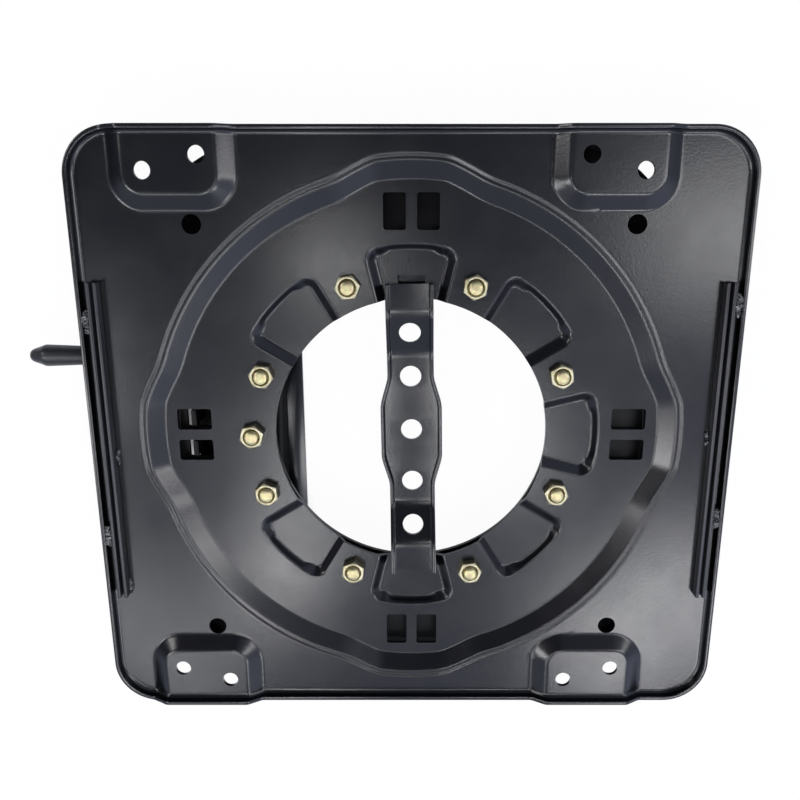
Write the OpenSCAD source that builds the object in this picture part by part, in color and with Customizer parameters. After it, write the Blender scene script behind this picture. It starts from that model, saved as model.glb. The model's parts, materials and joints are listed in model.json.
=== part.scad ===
// Swivel seat base: a pressed seat plate that turns on a pressed base plate, with a lever latch.
// Origin on the swivel axis at the base plate's mounting face, +Z up towards the seat.

/* [Seat plate] */
// Width of the seat plate
plate_w = 380; // [360:1:430]
// Length of the seat plate
plate_l = 352; // [345:1:400]
// Radius of its corners
plate_corner_r = 27; // [15:1:40]
// Thickness of its sheet
plate_t = 2.5; // [2:0.1:3.2]
// Height of its sunk disc's upper face above the mounting face
disc_z = 38; // [38:0.5:46]
// Rise of the outer flat above the disc
flat_rise = 6.5; // [5:0.5:9]
// Rise of the corner pads above the outer flat
pad_rise = 5.5; // [4:0.5:8]
// Height of the turned-up rim above the face beside it
rim_h = 5.5; // [4:0.5:9]
// Inner radius of the rim's bend
rim_bend_r = 2.5; // [1:0.5:4]
// Radius of the opening in the middle
opening_r = 82; // [70:0.5:84]
// Radius of the disc where its sloped edge starts
disc_r = 140; // [138:0.5:144]
// Run of that sloped edge
disc_slope = 12; // [8:0.5:15]
// How far the edge bulges outwards at each pair of lock slots
bulge_out = 9; // [4:0.5:12]
// Width of a bulge at its outer face
bulge_w = 35; // [25:1:45]
// Width of a bulge where it leaves the round edge
bulge_foot_w = 78; // [66:1:90]

/* [Corner pads] */
// Distance of the pads' middle line from the swivel axis, towards the lever
pad_shift = 9.5; // [0:0.5:12]
// Spacing of the pads across the plate
pad_spacing = 244; // [220:1:250]
// Width of a pad at its foot
pad_w = 70; // [60:1:80]
// Distance of a pad's inner end from the plate's middle
pad_y = 131; // [128:0.5:136]
// Corner radius of a pad at its foot
pad_r = 19; // [12:0.5:24]
// Diameter of the seat bolt holes
seat_hole_d = 9.6; // [8:0.1:11]
// Spacing of the two holes of a pad, across the plate
seat_hole_gap = 29.8; // [26:0.2:34]
// Distance of the outer hole of a pad from the plate's middle
seat_hole_y1 = 152.4; // [150:0.2:156]
// Distance of the inner hole of a pad from the plate's middle
seat_hole_y2 = 160.6; // [157:0.2:162]
// Diameter of the four access holes
access_d = 11; // [8:0.5:14]
// Distance of the access holes from each middle line
access_pos = 125.5; // [124:0.5:127]

/* [Bearing pockets] */
// Depth of the pockets below the disc
pocket_depth = 4.5; // [3.5:0.1:5.5]
// Outer radius of the pockets
pocket_r = 112; // [110:0.5:114]
// Half angle of a pocket at its rim
pocket_half = 14; // [12:0.5:15]
// Run of a pocket's walls
pocket_slope = 3.5; // [2:0.5:5]
// Half angle of the step in a pocket's outer wall
step_half = 7.5; // [6:0.5:9]
// Depth of that step
step_out = 2; // [1:0.5:2.5]

/* [Lock slots] */
// Radius of a slot's inner end
slot_r1 = 120.5; // [120:0.5:122]
// Length of a slot
slot_len = 20.5; // [18:0.5:22]
// Width of a slot
slot_w = 12.8; // [10:0.2:13.6]
// Distance between the middles of a pair of slots
slot_gap = 19.2; // [18:0.2:21]

/* [Clamp] */
// Radius of the bolt circle
bolt_circle_r = 96; // [95.5:0.1:96.5]
// Diameter of the clamp bolts
bolt_d = 8; // [6:0.5:9]
// Width across flats of nuts and bolt heads
nut_af = 13; // [11:0.5:14]
// Height of the nuts
nut_h = 6.5; // [5:0.1:7.5]
// Height of the bolt heads
head_h = 5.3; // [4:0.1:5.4]
// Diameter of the bushes, which centre the base plate
bush_d = 15.6; // [14:0.1:15.8]
// Clearance between the bushes and the base plate's opening
bush_clear = 0.2; // [0.1:0.05:0.5]
// Inner radius of the clamp ring
ring_r1 = 84; // [82.5:0.5:86]
// Outer radius of the clamp ring
ring_r2 = 117; // [115:0.5:118]
// Thickness of the clamp ring
ring_t = 3; // [2.5:0.1:3.2]
// Thickness of the glide rings
glide_t = 1; // [0.8:0.1:1.4]
// Running clearance under each glide ring
glide_clear = 0.2; // [0.1:0.05:0.3]

/* [Strap and rails] */
// Half length of the strap across the opening
strap_half = 90; // [88:0.5:92]
// Width of the strap near its ends
strap_w = 28; // [24:0.5:32]
// Width of the strap's middle
strap_mid_w = 37.4; // [34:0.2:44]
// Depth of the strap's middle below its ends
strap_drop = 9.5; // [6:0.5:12]
// Height of its turned-up edges above its floor
strap_edge = 6; // [4:0.5:8]
// Thickness of its sheet
strap_t = 2; // [1.5:0.1:2.5]
// Diameter of its five holes
strap_hole_d = 13; // [9:0.5:15]
// Turn of the strap from the plate's middle line
strap_turn = 0.9; // [0:0.1:1.5]
// Length of the side rails
rail_len = 194.5; // [160:0.5:200]
// Width of a side rail
rail_w = 6.2; // [5:0.1:7.5]
// Height of a side rail above the outer flat
rail_h = 7; // [4:0.5:9]
// Gap between a side rail and the rim
rail_gap = 4.2; // [3.5:0.1:6]

/* [Base plate] */
// Width of the base plate
base_w = 320; // [316:1:340]
// Length of the base plate
base_l = 340; // [336:1:352]
// Radius of its corners
base_corner_r = 70; // [55:1:75]
// Thickness of its sheet
base_t = 3; // [2.5:0.1:3.2]
// Height of its turned-up rim
base_rim_h = 8; // [6:0.5:10]
// Radius of its raised disc
base_disc_r = 142; // [142:0.5:144]
// Outer radius of the raised part at its foot
base_foot_r = 150; // [148:0.5:152]
// Spacing of the base bolt holes across the plate
base_hole_x = 210; // [190:1:220]
// Spacing of the base bolt holes along the plate
base_hole_y = 290; // [280:1:294]
// Diameter of the base bolt holes
base_hole_d = 9; // [7:0.5:11]

/* [Latch] */
// Distance of the hinge pin from the swivel axis
pin_x = 84; // [82:0.5:86]
// Height of the hinge pin
pin_z = 10.6; // [10.3:0.1:10.8]
// Height of the latch bracket above the mounting face
bracket_z = 2.5; // [1:0.1:2.8]
// Diameter of the hinge pin
pin_d = 6; // [5:0.1:6.1]
// Outer diameter of the lever's hinge tube
tube_d = 9; // [8:0.1:9.2]
// Length of the lever's hinge tube
tube_len = 80; // [60:1:84]
// Thickness of the lever plate and the latch bracket
latch_t = 3; // [2.5:0.1:3.2]
// Distance of the latch teeth from the swivel axis
tooth_x = 132; // [130:0.5:133]
// Width of a latch tooth
tooth_w = 9.6; // [8:0.1:10]
// Gap between a tooth's tip and the seat plate when the latch is released
tooth_gap = 0.8; // [0.5:0.1:1.5]
// Distance of the bracket's straight inner edge from the swivel axis
bracket_x = 69; // [66:0.5:72]
// Half length of the bracket
bracket_half = 92; // [91:0.5:93]
// Sideways distance of the lever rod from the swivel axis
rod_y = 46.5; // [42:0.5:50]
// Diameter of the lever rod
rod_d = 8; // [6:0.5:9]
// Distance of the grip's tip from the swivel axis
grip_tip_x = 230; // [224:0.5:240]
// Height of the grip's middle line
grip_z = 26; // [24:0.5:27]
// Length of the grip
grip_len = 38; // [30:1:45]
// Largest diameter of the grip
grip_d = 13.4; // [11:0.2:14]

/* [Hidden] */
$fn = 72;

flat_z = disc_z + flat_rise;
pad_z = flat_z + pad_rise;
// Run of the pads' sloped sides: a slope of 0.625 is a short decimal, so the rim's shear meets them
pad_slope = pad_rise * 1.6;
pocket_z = disc_z - pocket_depth;
// Underside of the pockets, then each layer of the bearing below it
glide1_z = pocket_z - plate_t - glide_t;
base_disc_z = glide1_z - glide_clear;
glide2_z = base_disc_z - base_t - glide_clear - glide_t;
ring_z = glide2_z - ring_t;
washer_t = 1.6;
washer_d = bolt_d * 2;
bush_r = bolt_circle_r + bush_d / 2;
base_opening_r = bush_r + bush_clear;
// Eight bolts lie between the pockets, and one where the latch side has no pocket
bolt_angles = concat([for (i = [0:7]) 22.5 + 45 * i], [180]);
pocket_angles = [for (i = [0:7]) if (i != 4) 45 * i];
slot_angles = [0, 90, 180, 270];
pad_signs = [[-1, -1], [-1, 1], [1, -1], [1, 1]];
hole_play = 0.8;
bore_play = 0.2;
running_play = 0.1;
thread_end = 2;
notch_w = 16;
notch_l = 5;
strap_end_flat = 17.5;
strap_slope_run = 24.5;
strap_wide_from = 17;
strap_wide_to = 33;
strap_hole_y = [0, 33.5, 61];
rail_wall = 2.1;
rail_floor = 2;
rail_shift = -5;
plate_gap = 0.5;
ear_gap = 0.5;
leg_in = 15;
leg_out = 41;
bracket_w = 29;
bracket_corner = 14;
leg_w = 20;
leg_step = 12;
tab_l = 13;
tab_back = 8;
ear_y = tube_len / 2 + ear_gap;
lever_y = 22;
lever_edge = 14;
lever_reach = 5;
lever_flange = 5;
wire_d = 1.4;
coil_r = pin_d / 2 + 0.2 + wire_d / 2;
coil_turns = 6;
coil_pitch = 1.25;
coil_y = ear_y + latch_t + wire_d / 2 + 0.2;
spring_arm = 28;
clip_t = 1.2;
clip_y = coil_y + coil_turns * coil_pitch + wire_d / 2 + 0.3;
rod_lap = 32;
// The rod climbs in the first three fifths of its way from the base plate's foot to the grip
rod_climb = 0.62;
grip_nose = 9;
steel = [0.07, 0.07, 0.08];
zinc = [0.78, 0.74, 0.55];
plastic = [0.13, 0.13, 0.14];
bare = [0.55, 0.56, 0.58];

// Points along a circle of radius r about c, from angle a to angle b in n steps
function arc(c, r, a, b, n) =
  [for (i = [0:n]) c + r * [cos(a + (b - a) * i / n), sin(a + (b - a) * i / n)]];

module rounded(w, l, r) {
  union() {
    square([w - 2 * r, l], center = true);
    square([w, l - 2 * r], center = true);
    for (x = [-1, 1], y = [-1, 1])
      translate([x * (w / 2 - r), y * (l / 2 - r)]) circle(r = r);
  }
}

// A closed form between two outlines with as many points each, the lower at z1 and the upper at z2
module tapered(lower, upper, z1, z2) {
  n = len(lower);
  polyhedron(
    points = concat([for (p = lower) [p.x, p.y, z1]], [for (p = upper) [p.x, p.y, z2]]),
    faces = concat(
      [[for (i = [0:n - 1]) i], [for (i = [0:n - 1]) 2 * n - 1 - i]],
      [for (i = [0:n - 1]) [i, n + i, n + (i + 1) % n]],
      [for (i = [0:n - 1]) [i, n + (i + 1) % n, (i + 1) % n]]));
}

// Section of the rim: the sheet's flat turns up through a bend, with u inwards from the outer face
function rim_section(z, t, r, h) = concat(
  [[0, z + h]], arc([r + t, z - t + r + t], r + t, 180, 270, 6),
  [[r + t + 2, z - t], [r + t + 2, z]],
  arc([r + t, z + r], r, 270, 180, 6), [[t, z + h]]);

// The rim carried round a rounded rectangle
module rim(w, l, corner, section) {
  for (turn = [0, 180]) rotate(turn) {
    translate([-w / 2, l / 2 - corner, 0]) rotate([90, 0, 0])
      linear_extrude(l - 2 * corner) polygon(section);
    translate([-w / 2 + corner, -l / 2, 0]) rotate([90, 0, 90])
      linear_extrude(w - 2 * corner) polygon(section);
  }
  for (x = [-1, 1], y = [-1, 1])
    translate([x * (w / 2 - corner), y * (l / 2 - corner), 0])
      rotate([0, 0, x > 0 ? (y > 0 ? 0 : 270) : (y > 0 ? 90 : 180)])
        rotate_extrude(angle = 90) polygon([for (p = section) [corner - p.x, p.y]]);
}

// A corner pad as a solid form from z = 0 up to its face, running out in +Y
module pad_form(reach) {
  inner = pad_w / 2 - pad_r;
  rise = pad_rise;
  translate([0, reach, 0]) rotate([90, 0, 0]) linear_extrude(reach - pad_y - pad_r)
    polygon([[-pad_w / 2, 0], [pad_w / 2, 0], [pad_w / 2 - pad_slope, rise],
             [pad_slope - pad_w / 2, rise]]);
  translate([-inner, 0, 0]) rotate([90, 0, 90]) linear_extrude(2 * inner)
    polygon([[pad_y, 0], [reach, 0], [reach, rise], [pad_y + pad_slope, rise]]);
  for (x = [-inner, inner]) translate([x, pad_y + pad_r, 0])
    cylinder(r1 = pad_r, r2 = pad_r - pad_slope, h = rise);
}

module at_pads() {
  for (s = pad_signs)
    translate([s.x * pad_spacing / 2 - pad_shift, 0, 0]) mirror([0, (1 - s.y) / 2, 0]) children();
}

// Outline of one bulge about +X, where the round edge has radius r
function bulge_outline(r) =
  let (out = r + bulge_out, w = bulge_w / 2 * r / disc_r, foot = bulge_foot_w / 2 * r / disc_r)
  [[r * 0.7, -foot], [sqrt(r * r - foot * foot), -foot], [out, -w],
   [out, w], [sqrt(r * r - foot * foot), foot], [r * 0.7, foot]];

// The sunk disc with its sloped edge and four bulges, as a solid form that rises past the flat
module disc_form() {
  k = (flat_rise + 1) / flat_rise;
  cylinder(r1 = disc_r, r2 = disc_r + k * disc_slope, h = k * flat_rise);
  for (a = slot_angles) rotate(a)
    tapered(bulge_outline(disc_r), bulge_outline(disc_r + k * disc_slope), 0, k * flat_rise);
}

// A wedge about +X with half angle half and slanted sides: w1 and w2 move them in, below and above
module wedge(half, w1, w2, z, h) {
  function edge(w) =
    let (x1 = opening_r - 6, x2 = pocket_r + 10, y1 = x1 * tan(half) - w / cos(half),
         y2 = x2 * tan(half) - w / cos(half))
    [[x1, -y1], [x2, -y2], [x2, y2], [x1, y1]];
  tapered(edge(w1), edge(w2), z, z + h);
}

// A pocket as a solid form from its floor up, where side is how far its walls are moved in
module pocket_form(z, side) {
  h = pocket_depth + 0.5;
  low = pocket_slope + side;
  high = side - pocket_slope * 0.5 / pocket_depth;
  for (step = [[pocket_half, 0], [step_half, step_out]]) intersection() {
    wedge(step[0], low, high, z, h);
    translate([0, 0, z])
      cylinder(r1 = pocket_r + step[1] - low, r2 = pocket_r + step[1] - high, h = h, $fn = 144);
  }
}

module slot_pairs(angles, z, h, len) {
  for (a = angles) rotate(a) for (y = [-1, 1])
    translate([slot_r1, y * slot_gap / 2 - slot_w / 2, z]) cube([len, slot_w, h]);
}

module seat_holes() {
  for (s = pad_signs)
    translate([s.x * pad_spacing / 2 - pad_shift, 0, pad_z - plate_t - 1]) {
      translate([s.x * seat_hole_gap / 2, s.y * seat_hole_y1, 0])
        cylinder(d = seat_hole_d, h = plate_t + 2);
      translate([-s.x * seat_hole_gap / 2, s.y * seat_hole_y2, 0])
        cylinder(d = seat_hole_d, h = plate_t + 2);
    }
}

// One straight stretch of the rim along +X, len long, climbing by rise
module rim_stretch(len, rise) {
  multmatrix([[1, 0, 0, 0], [0, 1, 0, 0], [rise / len, 0, 1, 0], [0, 0, 0, 1]])
    rotate([90, 0, 90]) linear_extrude(len)
      polygon([for (p = rim_section(0, plate_t, rim_bend_r, rim_h)) [-p.x, p.y]]);
}

// The rim along one pad: it climbs with the pad's sides and runs level over its face
module pad_rim() {
  face = pad_w - 2 * pad_slope;
  translate([-face / 2, plate_l / 2, pad_z]) rim_stretch(face, 0);
  translate([-pad_w / 2, plate_l / 2, flat_z]) rim_stretch(pad_slope, pad_rise);
  translate([face / 2, plate_l / 2, pad_z]) rim_stretch(pad_slope, -pad_rise);
}

// The flat with its rim, which is open along the pads
module outer_flat() {
  edge = rim_bend_r + plate_t + 1;
  translate([0, 0, flat_z - plate_t]) linear_extrude(plate_t)
    rounded(plate_w - 2 * edge, plate_l - 2 * edge, plate_corner_r - edge);
  difference() {
    rim(plate_w, plate_l, plate_corner_r, rim_section(flat_z, plate_t, rim_bend_r, rim_h));
    at_pads() translate([-pad_w / 2, plate_l / 2 - edge + 0.3, flat_z - plate_t - 1])
      cube([pad_w, edge + 1, rim_h + plate_t + 2]);
  }
}

module seat_plate() {
  below = pocket_z - plate_t - 1;
  reach = plate_l / 2 - rim_bend_r - plate_t - 1;
  color(steel) difference() {
    union() {
      outer_flat();
      at_pads() {
        translate([0, 0, flat_z]) pad_form(reach);
        pad_rim();
      }
      translate([0, 0, disc_z - plate_t]) disc_form();
      for (a = pocket_angles) rotate(a) pocket_form(pocket_z - plate_t, -plate_t);
    }
    translate([0, 0, disc_z]) disc_form();
    at_pads() translate([0, 0, flat_z - plate_t]) pad_form(reach + 1);
    for (a = pocket_angles) rotate(a) pocket_form(pocket_z, 0);
    translate([0, 0, below]) cylinder(r = opening_r, h = disc_z - below + 1, $fn = 144);
    slot_pairs(slot_angles, disc_z - plate_t - 1, plate_t + 2, slot_len);
    for (a = bolt_angles) rotate(a) translate([bolt_circle_r, 0, disc_z - plate_t - 1])
      cylinder(d = bolt_d + hole_play, h = plate_t + 2);
    seat_holes();
    for (x = [-1, 1], y = [-1, 1])
      translate([x * access_pos, y * access_pos, flat_z - plate_t - 1])
        cylinder(d = access_d, h = plate_t + 2);
    translate([-notch_w / 2, strap_half, below]) cube([notch_w, notch_l, plate_t + 2]);
  }
}

// Plan of the strap, from its ends to its wider middle, with its edges moved in by g
function strap_plan(g) =
  let (n = strap_w / 2 - g, m = strap_mid_w / 2 - g, e = strap_half + (g > 0 ? 1 : 0))
  [[-n, -e], [n, -e], [n, -strap_wide_to], [m, -strap_wide_from], [m, strap_wide_from],
   [n, strap_wide_to], [n, e], [-n, e], [-n, strap_wide_to], [-m, strap_wide_from],
   [-m, -strap_wide_from], [-n, -strap_wide_to]];

// Side view of the strap: flat ends on the pocket floors, slopes, and a lower middle, h high
function strap_side(h, past = 0) =
  let (e = strap_half + past, y1 = strap_half - strap_end_flat, y2 = y1 - strap_slope_run,
       z = pocket_z, low = pocket_z - strap_drop,
       line = [[-e, z], [-y1, z], [-y2, low], [y2, low], [y1, z], [e, z]])
  concat(line, [for (i = [5:-1:0]) [line[i].x, line[i].y + h]]);

module bridge_strap() {
  angle = atan(strap_drop / strap_slope_run);
  mid_z = pocket_z - strap_drop + strap_t / 2;
  slope_at = strap_half - strap_end_flat - strap_hole_y[2];
  color(steel) rotate(strap_turn) difference() {
    intersection() {
      rotate([90, 0, 90]) translate([0, 0, -strap_mid_w]) linear_extrude(2 * strap_mid_w)
        polygon(strap_side(strap_t + strap_edge));
      translate([0, 0, pocket_z - strap_drop - 1])
        linear_extrude(strap_drop + strap_edge + strap_t + 2) polygon(strap_plan(0));
    }
    intersection() {
      translate([0, 0, strap_t]) rotate([90, 0, 90]) translate([0, 0, -strap_mid_w])
        linear_extrude(2 * strap_mid_w) polygon(strap_side(strap_edge + 2, 1));
      translate([0, 0, pocket_z - strap_drop - 1])
        linear_extrude(strap_drop + strap_edge + strap_t + 4) polygon(strap_plan(strap_t));
    }
    for (y = [-strap_hole_y[1], 0, strap_hole_y[1]]) translate([0, y, mid_z - strap_t])
      cylinder(d = strap_hole_d, h = 2 * strap_t);
    for (s = [-1, 1])
      translate([0, s * strap_hole_y[2], pocket_z - slope_at * tan(angle) + strap_t / 2])
        rotate([s * angle, 0, 0]) cylinder(d = strap_hole_d, h = 3 * strap_t, center = true);
  }
}

// A narrow channel, open at the top, inside the rim on each side
module side_rail(side) {
  outer = plate_w / 2 - plate_t - rail_gap;
  color(steel) translate([0, rail_shift - rail_len / 2, flat_z])
    mirror([(1 - side) / 2, 0, 0]) difference() {
    translate([outer - rail_w, 0, 0]) cube([rail_w, rail_len, rail_h]);
    translate([outer - rail_w + rail_wall, -1, rail_floor])
      cube([rail_w - 2 * rail_wall, rail_len + 2, rail_h]);
  }
}

module side_rail_left() { side_rail(-1); }

module side_rail_right() { side_rail(1); }

module flat_ring(r1, r2, z, h) {
  translate([0, 0, z]) difference() {
    cylinder(r = r2, h = h, $fn = 144);
    translate([0, 0, -1]) cylinder(r = r1, h = h + 2, $fn = 144);
  }
}

module glide_ring_upper() {
  color(plastic) flat_ring(base_opening_r + plate_gap, pocket_r - pocket_slope, glide1_z, glide_t);
}

module glide_ring_lower() {
  color(plastic) flat_ring(base_opening_r + plate_gap, ring_r2 - 1, glide2_z, glide_t);
}

module clamp_ring() {
  color(steel) difference() {
    flat_ring(ring_r1, ring_r2, ring_z, ring_t);
    for (a = bolt_angles) rotate(a) translate([bolt_circle_r, 0, ring_z - 1])
      cylinder(d = bolt_d + hole_play, h = ring_t + 2);
  }
}

module at_bolts(z) {
  for (a = bolt_angles) rotate(a) translate([bolt_circle_r, 0, z]) children();
}

module spacer_bushes() {
  color(bare) at_bolts(ring_z + ring_t) difference() {
    cylinder(d = bush_d, h = disc_z - plate_t - ring_z - ring_t);
    translate([0, 0, -1]) cylinder(d = bolt_d + 2 * bore_play, h = disc_z);
  }
}

// A hexagon with chamfered corners, across flats af
module hexagon(af, h, both) {
  corner = af / cos(30) / 2;
  bevel = (corner - af / 2) * 0.6;
  intersection() {
    cylinder(r = corner, h = h, $fn = 6);
    rotate_extrude() polygon([[0, 0], [both ? af / 2 : corner + 1, 0], [corner + 1, bevel * 1.6],
                              [corner + 1, h - bevel * 1.6], [af / 2, h], [0, h]]);
  }
}

module clamp_bolts() {
  foot = ring_z - washer_t;
  color(bare) at_bolts(foot - head_h) {
    translate([0, 0, head_h]) mirror([0, 0, 1]) hexagon(nut_af, head_h, false);
    cylinder(d = bolt_d, h = disc_z + nut_h + thread_end - foot + head_h);
  }
}

module clamp_washers() {
  color(bare) at_bolts(ring_z - washer_t) difference() {
    cylinder(d = washer_d, h = washer_t);
    translate([0, 0, -1]) cylinder(d = bolt_d + 2 * bore_play, h = washer_t + 2);
  }
}

module clamp_nuts() {
  color(zinc) at_bolts(disc_z) rotate(15) difference() {
    hexagon(nut_af, nut_h, true);
    translate([0, 0, -1]) cylinder(d = bolt_d + running_play, h = nut_h + 2);
  }
}

module base_plate() {
  edge = base_t + 1;
  foot_in = base_foot_r - base_t;
  color(steel) difference() {
    union() {
      difference() {
        linear_extrude(base_t) rounded(base_w, base_l, base_corner_r);
        translate([0, 0, -1]) cylinder(r = foot_in + 1, h = base_t + 2, $fn = 144);
      }
      difference() {
        linear_extrude(base_rim_h) rounded(base_w, base_l, base_corner_r);
        translate([0, 0, -1]) linear_extrude(base_rim_h + 2)
          rounded(base_w - 2 * base_t, base_l - 2 * base_t, base_corner_r - base_t);
      }
      rotate_extrude($fn = 144) polygon([
        [base_opening_r, base_disc_z - base_t], [base_disc_r - base_t, base_disc_z - base_t],
        [foot_in, 0], [foot_in + 2 * edge, 0], [foot_in + 2 * edge, base_t], [base_foot_r, base_t],
        [base_disc_r, base_disc_z], [base_opening_r, base_disc_z]]);
    }
    slot_pairs([180], base_disc_z - base_t - 1, base_t + 2, slot_len - 4);
    // window for the lever rod
    translate([-base_foot_r - 2, rod_y - rod_d - 1, base_rim_h + 1])
      cube([base_foot_r - tooth_x + 20, 2 * rod_d + 2, base_disc_z - base_t - base_rim_h - 2]);
    for (x = [-1, 1], y = [-1, 1])
      translate([x * base_hole_x / 2, y * base_hole_y / 2, -1])
        cylinder(d = base_hole_d, h = base_t + 2);
  }
}

module lying(y, d, h, extra = 0) {
  translate([-pin_x, y + h, pin_z]) rotate([90, 0, 0]) translate([0, 0, -extra])
    cylinder(d = d, h = h + 2 * extra);
}

// Folded bracket under the base plate, with two ears for the hinge pin
module latch_bracket() {
  top = base_disc_z - base_t;
  x1 = bracket_x + leg_in;
  x2 = bracket_x + leg_out;
  x3 = bracket_x + bracket_w;
  half = bracket_half;
  leg = half - leg_w;
  waist = leg - leg_step;
  corner = half - bracket_corner;
  color(steel) difference() {
    intersection() {
      union() {
        translate([0, 0, bracket_z]) linear_extrude(latch_t)
          polygon([[-bracket_x, corner], [-x1, half], [-x2, half], [-x2, leg], [-x3, waist],
                   [-x3, -waist], [-x2, -leg], [-x2, -half], [-x1, -half], [-bracket_x, -corner]]);
        for (s = [0, 1]) mirror([0, s, 0]) {
          translate([-x2, half - latch_t, bracket_z]) cube([x2 - x1, latch_t, top - bracket_z]);
          translate([-x2, half - tab_l, top - latch_t])
            cube([x2 - x1 - tab_back, tab_l, latch_t]);
          translate([-pin_x - tube_d / 2, ear_y, bracket_z])
            cube([tube_d, latch_t, pin_z - bracket_z]);
          lying(ear_y, tube_d, latch_t);
        }
      }
      // the legs' outer corners follow the raised part's wall
      cylinder(r = base_disc_r - base_t - plate_gap, h = base_disc_z, $fn = 144);
    }
    for (s = [0, 1]) mirror([0, s, 0]) lying(ear_y, pin_d + 2 * bore_play, latch_t, 1);
  }
}

module hinge_pin() {
  start = -ear_y - latch_t - 0.3;
  color(bare) difference() {
    union() {
      lying(start, pin_d, clip_y + clip_t + 1.5 - start);
      lying(start - 2, tube_d, 2);
    }
    difference() {
      lying(clip_y, pin_d + 2, clip_t);
      lying(clip_y, pin_d - 1, clip_t, 1);
    }
  }
}

module pin_clip() {
  color(bare) difference() {
    lying(clip_y + 0.05, tube_d, clip_t - 0.1);
    lying(clip_y, pin_d - 0.9, clip_t, 1);
    translate([-pin_x, clip_y - 1, pin_z - 1.2]) cube([tube_d, clip_t + 2, 2.4]);
  }
}

module wire(from, to) {
  d = to - from;
  length = norm(d);
  translate(from) rotate([0, acos(d.z / length), atan2(d.y, d.x)])
    cylinder(d = wire_d * 0.85, h = length, $fn = 24);
}

// Torsion spring on the pin, with one leg on the bracket and one under the lever
module latch_spring() {
  low = pin_z - coil_r;
  last = coil_y + coil_turns * coil_pitch;
  color(bare) {
    for (i = [0:coil_turns]) translate([-pin_x, coil_y + i * coil_pitch, pin_z])
      rotate([-90, 0, 0]) rotate_extrude() translate([coil_r, 0]) circle(d = wire_d, $fn = 24);
    wire([-pin_x, coil_y, low], [-bracket_x - 4, coil_y, bracket_z + latch_t + wire_d / 2 + 0.1]);
    wire([-pin_x, last, low], [-pin_x - spring_arm, last, pin_z - latch_t / 2 - wire_d / 2 - 0.4]);
  }
}

// Lever plate with its hinge tube, stiffening edges and two teeth
module latch_lever() {
  low = pin_z - latch_t / 2;
  x1 = bracket_x + bracket_w + 2;
  y2 = rod_y + lever_edge;
  tip = disc_z - plate_t - tooth_gap;
  far = tooth_x + lever_reach;
  color(steel) difference() {
    union() {
      intersection() {
        union() {
          translate([0, 0, low]) linear_extrude(latch_t)
            polygon([[-pin_x, -lever_y], [-pin_x, ear_y - 1], [-x1, ear_y - 1], [-x1, y2],
                     [-far, y2], [-far, -lever_y]]);
          for (y = [-lever_y, y2 - latch_t]) translate([-far, y, low - lever_flange])
            cube([far - x1, latch_t, lever_flange + 1]);
        }
        translate([0, 0, low - lever_flange - 1])
          cylinder(r = far, h = lever_flange + latch_t + 2, $fn = 144);
      }
      lying(-tube_len / 2, tube_d, tube_len);
      for (y = [-1, 1])
        translate([-tooth_x - latch_t / 2, y * slot_gap / 2 - tooth_w / 2, low + 1])
          cube([latch_t, tooth_w, tip - low - 1]);
    }
    lying(-tube_len / 2, pin_d + running_play, tube_len, 1);
  }
}

// Stations of the rod's middle line, from the lever plate up and out into the grip
function rod_points() =
  let (z1 = pin_z + latch_t / 2 + rod_d / 2,
       climb = rod_climb * (grip_tip_x - grip_len - base_foot_r))
  [[-tooth_x + rod_lap, rod_y, z1], [-base_foot_r, rod_y, z1],
   [-base_foot_r - climb, rod_y, grip_z], [-grip_tip_x + grip_nose, rod_y, grip_z]];

module lever_rod() {
  points = rod_points();
  color(bare) for (i = [0:2]) {
    d = points[i + 1] - points[i];
    translate(points[i]) rotate([0, -acos(d.z / norm(d)), 0]) cylinder(d = rod_d, h = norm(d));
    if (i > 0) translate(points[i]) sphere(d = rod_d + 0.2);
  }
}

module lever_grip() {
  r = grip_d / 2;
  bore = (rod_d + running_play) / 2;
  deep = grip_len - grip_nose + 0.5;
  color(plastic) translate([-grip_tip_x + grip_len, rod_y, grip_z]) rotate([0, -90, 0])
    rotate_extrude() polygon(concat(
      [[bore, 0], [r - 1.4, 0], [r - 0.9, 0.8], [r - 0.2, grip_len - grip_nose - 3]],
      [[r, grip_len - grip_nose - 1], [r - 0.3, grip_len - grip_nose + 0.5], [r * 0.62, grip_len - 2]],
      arc([r * 0.62 - 2, grip_len - 2], 2, 0, 90, 5), [[0, grip_len], [0, deep], [bore, deep]]));
}

seat_plate();
bridge_strap();
side_rail_left();
side_rail_right();
glide_ring_upper();
glide_ring_lower();
clamp_ring();
spacer_bushes();
clamp_bolts();
clamp_nuts();
clamp_washers();
base_plate();
latch_bracket();
hinge_pin();
pin_clip();
latch_spring();
latch_lever();
lever_rod();
lever_grip();
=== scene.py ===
import json
import math
import bmesh
import bpy
import numpy as np
from mathutils import Matrix, Vector


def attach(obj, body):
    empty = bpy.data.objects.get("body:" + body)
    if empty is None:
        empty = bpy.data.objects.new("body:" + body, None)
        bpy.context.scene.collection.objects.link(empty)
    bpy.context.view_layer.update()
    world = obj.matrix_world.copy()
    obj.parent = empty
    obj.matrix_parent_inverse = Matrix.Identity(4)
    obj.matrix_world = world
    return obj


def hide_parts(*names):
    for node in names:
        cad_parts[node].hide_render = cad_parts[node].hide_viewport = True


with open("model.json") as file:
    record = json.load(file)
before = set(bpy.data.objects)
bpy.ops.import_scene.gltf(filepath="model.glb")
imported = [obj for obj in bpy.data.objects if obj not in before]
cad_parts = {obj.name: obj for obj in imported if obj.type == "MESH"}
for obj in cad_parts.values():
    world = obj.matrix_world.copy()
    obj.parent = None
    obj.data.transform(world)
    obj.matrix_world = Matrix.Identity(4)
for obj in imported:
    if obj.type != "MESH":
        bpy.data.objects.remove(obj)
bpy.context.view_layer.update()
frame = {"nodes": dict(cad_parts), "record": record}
print("frame loaded")

mm = 0.001


# materials

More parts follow.
